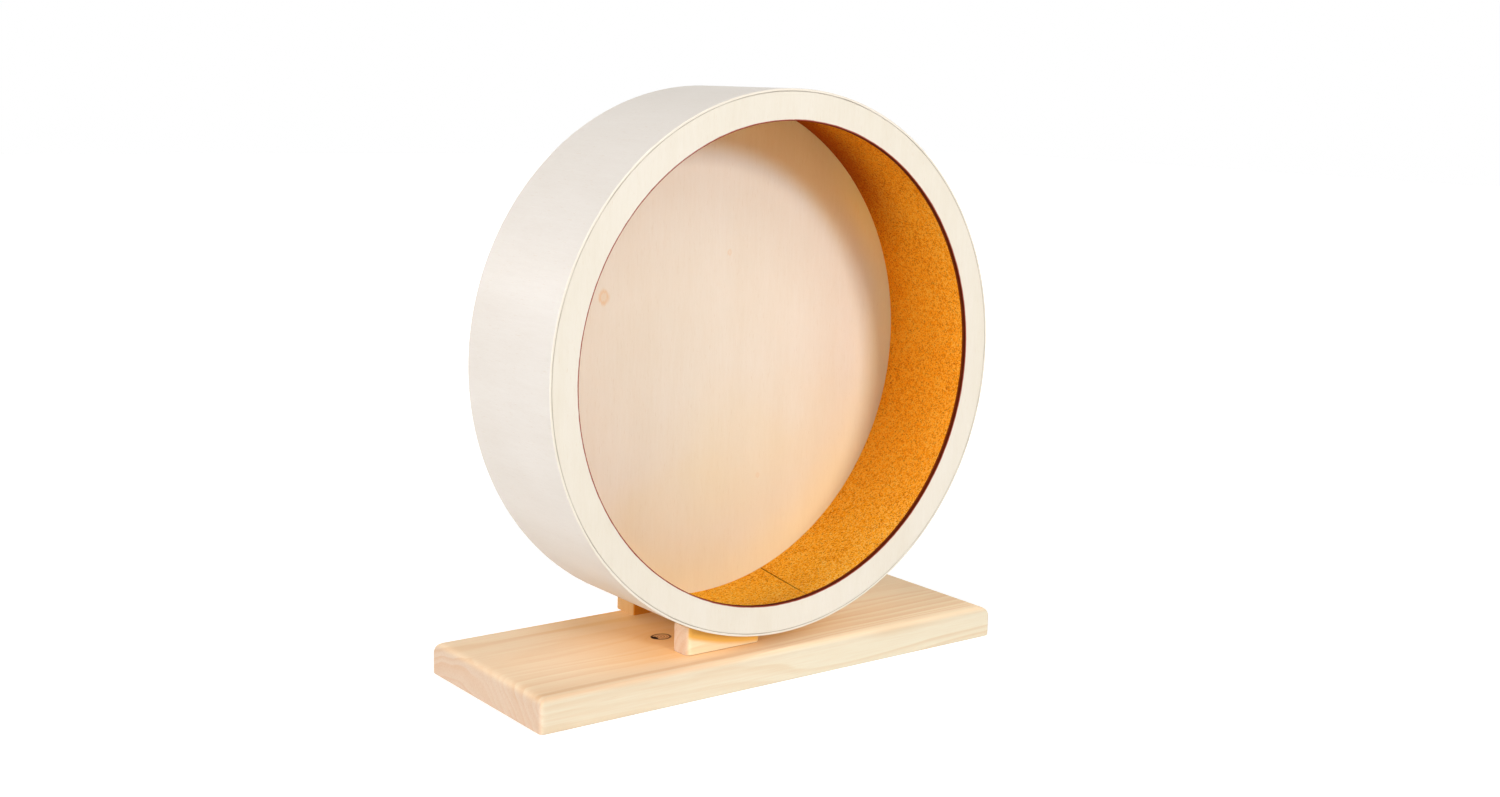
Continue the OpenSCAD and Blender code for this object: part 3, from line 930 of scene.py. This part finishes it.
# Cork, metal and nylon
def cork():
    """Fine pressed cork: close granules of many browns, a few dark ones, and tiny pits."""
    granule_scale = 1450
    pit_scale = 1500
    f = Finish("pressed_cork", roughness=0.85, specular=0.03)
    wire(f.tree, f.shader, {"Diffuse Roughness": 1.0})
    warp = f.noise(f.place, scale=420)
    wide = f.noise(f.place, scale=28, detail=3)
    granules = f.node("SeparateColor", {0: f.cells(granule_scale, "Color")}).outputs
    tone = f.blend((granules[0], 0.5), (warp, 0.3), (wide, 0.2))
    colour = f.ramp(tone, (0.18, CORK_DARK), (0.45, CORK_MID), (0.8, CORK_PALE))
    colour = f.mix(f.times(f.band(granules[1], 0.88, 0.97), 0.5), colour, CORK_SPECK)
    crack = f.fade(f.cells(granule_scale, "Distance", "DISTANCE_TO_EDGE"), 0.0, 0.09)
    colour = f.mix(f.times(crack, 0.16), colour, CORK_CRACK)
    colour = cork_light_shade_and_seam(f, colour)
    height = f.blend((granules[2], 0.45), (f.cells(pit_scale, "Distance"), 0.35))
    height = f.minus(height, f.times(crack, 0.5))
    rough = f.band(warp, 0.3, 0.7, 0.74, 0.9)
    return f.set(colour, rough, f.bump(height, depth=0.16 * MM, strength=0.8))


def cork_light_shade_and_seam(f, colour):
    """The cork's painted shade and light by depth and by height in the room, darker towards the disc
    and at the top and lighter towards the mouth and at the bottom; also its dark front edge, and its seam.
    """
    # Painted shade deep in the drum and at its top, painted light near the mouth and at its bottom
    depth = f.band(f.y, CORK_LOW.y, CORK_HIGH.y, smooth=False)
    z = f.room()[2]
    back = f.times(f.band(depth, 0.58, 1.0), f.band(z, AXLE_Z - 60 * MM, AXLE_Z + 70 * MM, 0.3, 1))
    colour = f.tint(back, colour, CORK_BACK_PAINTED_SHADE)
    back = f.times(f.band(depth, 0.4, 1.0), f.band(z, AXLE_Z + 40 * MM, AXLE_Z + 110 * MM))
    colour = f.tint(back, colour, CORK_UPPER_PAINTED_SHADE)
    colour = f.tint(f.fade(depth, 0.1, 0.6), colour, CORK_FRONT_PAINTED_LIGHT)
    colour = f.mix(f.fade(depth, 0.004, 0.014, full=0.8), colour, CORK_EDGE)
    colour = f.tint(f.fade(z, 40 * MM, 120 * MM), colour, CORK_LOW_PAINTED_LIGHT)
    colour = f.tint(f.band(z, AXLE_Z + 60 * MM, AXLE_Z + DRUM_R), colour, CORK_TOP_PAINTED_SHADE)
    angle = f.math("ARCTAN2", f.x, f.minus(AXLE_Z, f.z))
    joint = f.times(f.minus(angle, CORK_SEAM_AT), CORK_IR)
    slant = f.times(f.minus(f.y, (CORK_LOW.y + CORK_HIGH.y) / 2), math.tan(CORK_SEAM_SLANT))
    joint = f.math("ABSOLUTE", f.minus(joint, slant))
    share = f.times(f.fade(joint, 0.2 * MM, 0.6 * MM, full=0.62), f.band(depth, 0.1, 0.7, 0.3, 1))
    return f.mix(share, colour, CORK_JOINT)


def metal(name, colour, roughness, brushed, stain=None):
    """Plated or ground steel, with fine scratches round the axle and slight clouding."""
    f = Finish(name, roughness, specular=0.5, metallic=1.0)
    cloud = f.noise(f.place, scale=240, detail=3)
    lines = f.streaks(f.vector(f.radius(), f.y, 0.0), (9000, 9000, 1), close=1, detail=2)
    shade = f.mix(f.band(cloud, 0.35, 0.7), colour, stain or darkened(colour, 0.82))
    rough = f.band(cloud, 0.3, 0.75, roughness - 0.05, roughness + 0.1)
    height = f.blend((lines, brushed), (cloud, 0.3))
    return f.set(shade, rough, f.bump(height, depth=0.01 * MM, strength=0.4))


def nylon(name, colour):
    f = Finish(name, roughness=0.42, specular=0.45)
    grain = f.noise(f.place, scale=2600)
    cloud = f.noise(f.place, scale=160)
    shade = f.mix(f.band(cloud, 0.3, 0.7), darkened(colour, 0.9), colour)
    rough = f.band(grain, 0.3, 0.7, 0.36, 0.5)
    return f.set(shade, rough, f.bump(grain, depth=0.02 * MM, strength=0.4))


# Drum
def make_skin():
    low, high = SKIN_LOW.y, SKIN_HIGH.y
    rounds = (0.12, 0.12, 0.35, 0.35)
    seam = (SKIN_SEAM_AT, SKIN_SEAM_W)
    skin = flat_ring("drum_skin_ply", SKIN_IR, DRUM_R, low, high, rounds, DRUM_SEGMENTS, seam)
    finish = birch(
        "birch_skin", BIRCH_PALE, BIRCH_DEEP, (8, 0.8, 8), skin_edge, roughness=0.46, shine=SKIN_SHINE
    )
    dress(skin, finish, "birch_skin", "wheel", "drum_skin")


def make_ring():
    rounds = (0.3, 0.15, 0.1, 0.15)
    low, high = RING_LOW.y, RING_HIGH.y
    ring = flat_ring("front_ring_ply", RING_IR, PANEL_R, low, high, rounds, DRUM_SEGMENTS)
    finish = birch("birch_ring", RING_PALE, RING_DEEP, (8, 8, 0.8), ring_edge)
    dress(ring, finish, "birch_ply", "wheel", "front_ring")


def make_disc():
    middle_r = 1 * MM
    edge_r = 0.2 * MM
    front = [(middle_r, DISC_LOW.y, 0), (PANEL_R, DISC_LOW.y, edge_r)]
    back = [(PANEL_R, DISC_HIGH.y, edge_r), (middle_r, DISC_HIGH.y, 0)]
    disc = capped_lathe("back_disc_ply", fillet(front + back), DRUM_SEGMENTS)
    finish = birch("birch_disc", DISC_PALE, DISC_DEEP, (8, 8, 0.8), face=disc_face)
    dress(disc, finish, "birch_ply", "wheel", "back_disc")


def make_hub():
    rounds = (0.1, 0.3, 0.6, 0.15)
    bore = AXLE_R + 0.15 * MM
    hub = flat_ring("hub_plate_ply", bore, HUB_HIGH.x, HUB_LOW.y, HUB_HIGH.y, rounds, 192)
    finish = birch("birch_hub", DISC_PALE, DISC_DEEP, (8, 8, 0.8), hub_edge)
    dress(hub, finish, "birch_ply", "wheel", "hub_plate")


def make_cork():
    """The cork strip: an inner face with slight relief, rolled edges, and a slanted butt seam."""
    around, across = 720, 60
    lift = 0.1 * MM
    lip = 0.25 * MM
    lip_w = 0.8 * MM
    low, high = CORK_LOW.y, CORK_HIGH.y
    length = 2 * math.pi * CORK_IR
    # Each relief is its depth, and how close its marks lie round the axle and along it.
    reliefs = ((0.09 * MM, 9, 60), (0.03 * MM, 60, 420))

    def angle_at(y, share):
        slanted = (y - (low + high) / 2) * math.tan(CORK_SEAM_SLANT)
        start = CORK_SEAM_AT + (slanted + CORK_SEAM_W / 2) / CORK_IR
        end = CORK_SEAM_AT + (slanted - CORK_SEAM_W / 2) / CORK_IR + 2 * math.pi
        return start + (end - start) * share

    def inner_point(y, share):
        angle = angle_at(y, share)
        radius = CORK_IR + lift
        for depth, close, close_y in reliefs:
            place = Vector((math.sin(angle) * close, y * close_y, math.cos(angle) * close))
            radius += depth * noise.noise(place)
        to_edge = min(y - low, high - y, share * length, (1 - share) * length)
        return on_axle(angle, radius + lip * max(0.0, 1 - to_edge / lip_w) ** 2, y)

    rows = []
    for share in [i / around for i in range(around + 1)]:
        row = [inner_point(low + (high - low) * j / across, share) for j in range(across + 1)]
        rows.append(row + [on_axle(angle_at(y, share), CORK_HIGH.x, y) for y in (high, low)])
    count = across + 3
    last = around * count
    # The faces past the inner one start a corner later, so that their diagonals follow the seam.
    faces = [f[1:] + f[:1] if f[0] % count > across else f for f in quads(around + 1, count, False)]
    faces.append(tuple(range(count)))
    faces.append(tuple(range(last + across, last - 1, -1)) + (last + across + 2, last + across + 1))
    strip = finish_mesh(mesh_object("cork_strip", rows, faces), crease=50)
    dress(strip, cork(), "cork", "wheel", "cork_lining")


# Stand
def make_base():
    pith = (24 * MM, -46 * MM)
    rings = [
        [(u, v, z) for u, v in rounded_rectangle(BASE_HIGH.x, BASE_HIGH.y, BASE_CORNER, inset)]
        for inset, z in rounding(BASE_LOW.z, BASE_HIGH.z, BASE_ARRIS, BASE_ROUND, 10)
    ]
    base = swept("base_board_pine", rings, crease=40)
    holes = screw_cutters(POST_SCREWS, POST_SCREW_D, POST_SCREW_TIP)
    cut(base, holes + screw_cutters(STOP_SCREWS, STOP_SCREW_D, STOP_SCREW_TIP))
    finish = pine("pine_base", pith, base_under, base_over, knot=from_knot)
    dress(base, finish, "pine", "stand", "base_board")


def make_upright():
    """The upright: an outline in X and Z with a round top, its edges eased, and the bearing's pocket."""
    pith = (-14 * MM, 96 * MM)
    side_steps = 4
    arc_steps = 48
    arc = [math.pi * k / arc_steps for k in range(arc_steps + 1)]

    def outline(inset):
        w = POST_HIGH.x - inset
        heights = [POST_LOW.z + (AXLE_Z - POST_LOW.z) * k / side_steps for k in range(side_steps)]
        top = [(w * math.cos(angle), AXLE_Z + w * math.sin(angle)) for angle in arc]
        return [(w, z) for z in heights] + top + [(-w, z) for z in reversed(heights)]

    rings = [
        [(x, y, z) for x, z in outline(inset)]
        for inset, y in rounding(POST_LOW.y, POST_HIGH.y, POST_ARRIS, POST_ARRIS, 5)
    ]
    post = swept("upright_pine", rings, crease=40)
    over = 1 * MM
    seat_r = BEARING_R + SEAT_FIT
    seat_end = POST_LOW.y + BEARING_W
    pocket = [(over, POST_LOW.y - over), (seat_r, POST_LOW.y - over), (seat_r, seat_end)]
    pocket += [(SHOULDER_R, seat_end), (SHOULDER_R, POST_HIGH.y + over), (over, POST_HIGH.y + over)]
    holes = screw_cutters(POST_SCREWS, POST_SCREW_D, POST_SCREW_TIP)
    cut(post, [capped_lathe("cutter", pocket, 96)] + holes)
    finish = pine("pine_upright", pith, post_under, post_over, along="Z", seed=0.37)
    dress(post, finish, "pine", "stand", "upright_post")


def make_stop_block():
    """The stop block, lofted along X, with a hollow top that follows the drum."""
    pith = (-70 * MM, -10 * MM)
    half_t = (STOP_HIGH.y - STOP_LOW.y) / 2
    middle_y = (STOP_HIGH.y + STOP_LOW.y) / 2
    length = STOP_HIGH.x - STOP_LOW.x
    top_r = 0.6 * MM
    end_r = 0.5 * MM
    joint = 0.5 * MM
    hollow = DRUM_R + STOP_GAP
    quarter = [math.pi / 2 * k / 4 for k in range(5)]
    arc = [(top_r * (1 - math.cos(turn)), top_r * (1 - math.sin(turn))) for turn in quarter]

    def eased(distance, radius):
        if distance >= radius:
            return 0.0
        return radius - math.sqrt(max(radius * radius - (radius - distance) ** 2, 0))

    def section(t):
        x = STOP_LOW.x + t
        to_end = min(t, length - t)
        half = half_t - eased(to_end, STOP_ARRIS)
        front, back = middle_y - half, middle_y + half
        top = min(STOP_HIGH.z, AXLE_Z - math.sqrt(hollow * hollow - x * x)) - eased(to_end, end_r)
        ring = [(front + joint, STOP_LOW.z), (front, STOP_LOW.z + joint)]
        ring += [(front + inset, top - drop) for inset, drop in arc]
        ring += [(back - inset, top - drop) for inset, drop in reversed(arc)]
        ring += [(back, STOP_LOW.z + joint), (back - joint, STOP_LOW.z)]
        return [(x, y, z) for y, z in ring]

    near = [STOP_ARRIS * (1 - math.cos(math.pi / 2 * k / 8)) for k in range(9)]
    near = sorted(set(near + [0.15 * MM, 0.35 * MM]))
    middle = [STOP_ARRIS + (length - 2 * STOP_ARRIS) * k / 40 for k in range(1, 40)]
    places = near + middle + [length - t for t in reversed(near)]
    block = swept("stop_block_pine", [section(t) for t in places], crease=40)
    cut(block, screw_cutters(STOP_SCREWS, STOP_SCREW_D, STOP_SCREW_TIP))
    finish = pine("pine_stop", pith, block_painted_shadow, block_over, seed=0.81)
    dress(block, finish, "pine", "stand", "front_stop_block")


# Axle hardware
def hex_radius(angle):
    """Radius of the hexagon at an angle, with its corners up and down."""
    step = math.pi / 3
    off = (angle + step / 2) % step - step / 2
    return HEX_AF / 2 / math.cos(step / 2 - abs(off))


def make_bolt(zinc):
    """The bolt: a chamfered hexagon head, a plain shank, and a thread with a tapered tip."""
    head_end = BOLT_LOW.y + HEAD_T
    head_steps = 12
    thread_from = WASHER_LOW.y - 4 * MM
    thread_rows = 150
    tip = BOLT_HIGH.y
    joint = 0.02 * MM
    pitch = 1.25 * MM
    shank = AXLE_R - 0.05 * MM
    crest = AXLE_R - 0.06 * MM
    root = crest - 0.72 * MM
    root_flat = 0.06
    flank = 0.82
    tip_w = 0.9 * MM
    tip_slope = 0.9
    chamfer_w = 1.2 * MM
    chamfer_r = HEX_AF / 2 * 0.95
    chamfer_slope = 1.7
    bore = 0.25 * MM

    def bolt_radius(angle, y):
        if y < head_end:
            return min(hex_radius(angle), chamfer_r + min(y - BOLT_LOW.y, chamfer_w) * chamfer_slope)
        if y < thread_from:
            return shank
        wave = abs(((y / pitch + angle / (2 * math.pi)) % 1.0) - 0.5) * 2
        wave = min(max((wave - root_flat) / flank, 0), 1)
        taper = max(0.0, tip_w - (tip - y)) * tip_slope
        return min(root + (crest - root) * wave, crest - taper)

    ys = [BOLT_LOW.y + HEAD_T * k / head_steps for k in range(head_steps + 1)]
    ys += [head_end + joint, thread_from - joint]
    ys += [thread_from + (tip - thread_from) * k / thread_rows for k in range(thread_rows + 1)]
    bolt = radial_wall("axle_bolt_threaded", ys, bolt_radius, bore, 96)
    dress(bolt, zinc, "zinc_steel", "wheel", "axle_bolt")


def make_nut(zinc):
    """The lock nut: a hexagon with both faces chamfered, a round collar, and a nylon ring inside it."""
    hex_top = NUT_LOW.y + NUT_HEX_T
    joint = 0.01 * MM
    chamfer_w = 1.3 * MM
    chamfer_r = HEX_AF / 2 * 0.96
    chamfer_slope = 1.75
    collar_round = 0.9 * MM / 0.3
    round_from = 0.45
    bore = AXLE_R - 0.35 * MM
    hex_steps = 26
    collar_steps = 8

    def nut_radius(angle, y):
        if y <= hex_top:
            to_face = min(y - NUT_LOW.y, hex_top - y, chamfer_w)
            return min(hex_radius(angle), chamfer_r + to_face * chamfer_slope)
        up = (y - hex_top) / (NUT_HIGH.y - hex_top)
        return NUT_COLLAR_R - collar_round * max(0.0, up - round_from) ** 2

    ys = [NUT_LOW.y + NUT_HEX_T * k / hex_steps for k in range(hex_steps + 1)]
    collar_h = NUT_HIGH.y - hex_top - joint
    ys += [hex_top + joint + collar_h * k / collar_steps for k in range(collar_steps + 1)]
    nut = radial_wall("lock_nut_hex", ys, nut_radius, bore, 240)
    dress(nut, zinc, "zinc_steel", "wheel", "lock_nut")

    inner, outer = AXLE_R - 0.45 * MM, NUT_COLLAR_R - 1.35 * MM
    corners = [
        (inner, hex_top - 0.4 * MM, 0.1 * MM),
        (inner, NUT_HIGH.y - 0.25 * MM, 0.25 * MM),
        (outer, NUT_HIGH.y - 0.02 * MM, 0.1 * MM),
        (outer, hex_top - 0.4 * MM, 0.1 * MM),
    ]
    rows = [[on_axle(angle, radius, y) for radius, y in fillet(corners)] for angle in turns(96)]
    insert = swept("lock_nut_insert", rows, close_rows=True)
    dress(insert, nylon("lock_ring_nylon", RING_NYLON), "cage_nylon", "wheel")


def make_washer(zinc):
    rounds = (0.1, 0.25, 0.45, 0.1)
    inner = AXLE_R + 0.05 * MM
    washer = flat_ring(
        "rear_washer_plate", inner, WASHER_HIGH.x, WASHER_LOW.y, WASHER_HIGH.y, rounds, 128
    )
    dress(washer, zinc, "zinc_steel", "wheel", "rear_washer")


def make_hardware():
    zinc = metal("bright_zinc", ZINC, roughness=0.3, brushed=0.4)
    make_bolt(zinc)
    make_nut(zinc)
    make_washer(zinc)
    bearing = metal("bearing_steel", STEEL, roughness=0.16, brushed=0.25)
    cage = nylon("cage_nylon", CAGE_NYLON)
    yellow = metal("yellow_zinc", YELLOW_ZINC, roughness=0.32, brushed=0.3, stain=YELLOW_STAIN)
    steel_parts = ("inner_ring", "outer_ring", "balls", "front_shield", "rear_shield")
    kept = {"bearing_" + part: bearing for part in steel_parts}
    kept.update(bearing_cage=cage, front_spacer=zinc, rear_sleeve=zinc)
    kept.update(upright_screws=yellow, stop_block_screws=yellow)
    for name, material in kept.items():
        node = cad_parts[name]
        node.data.materials.clear()
        node.data.materials.append(material)


bpy.context.scene.view_settings.view_transform = "Standard"
make_camera()
make_light()
make_floor()
make_skin()
make_ring()
make_disc()
make_hub()
make_cork()
make_base()
make_upright()
make_stop_block()
make_hardware()
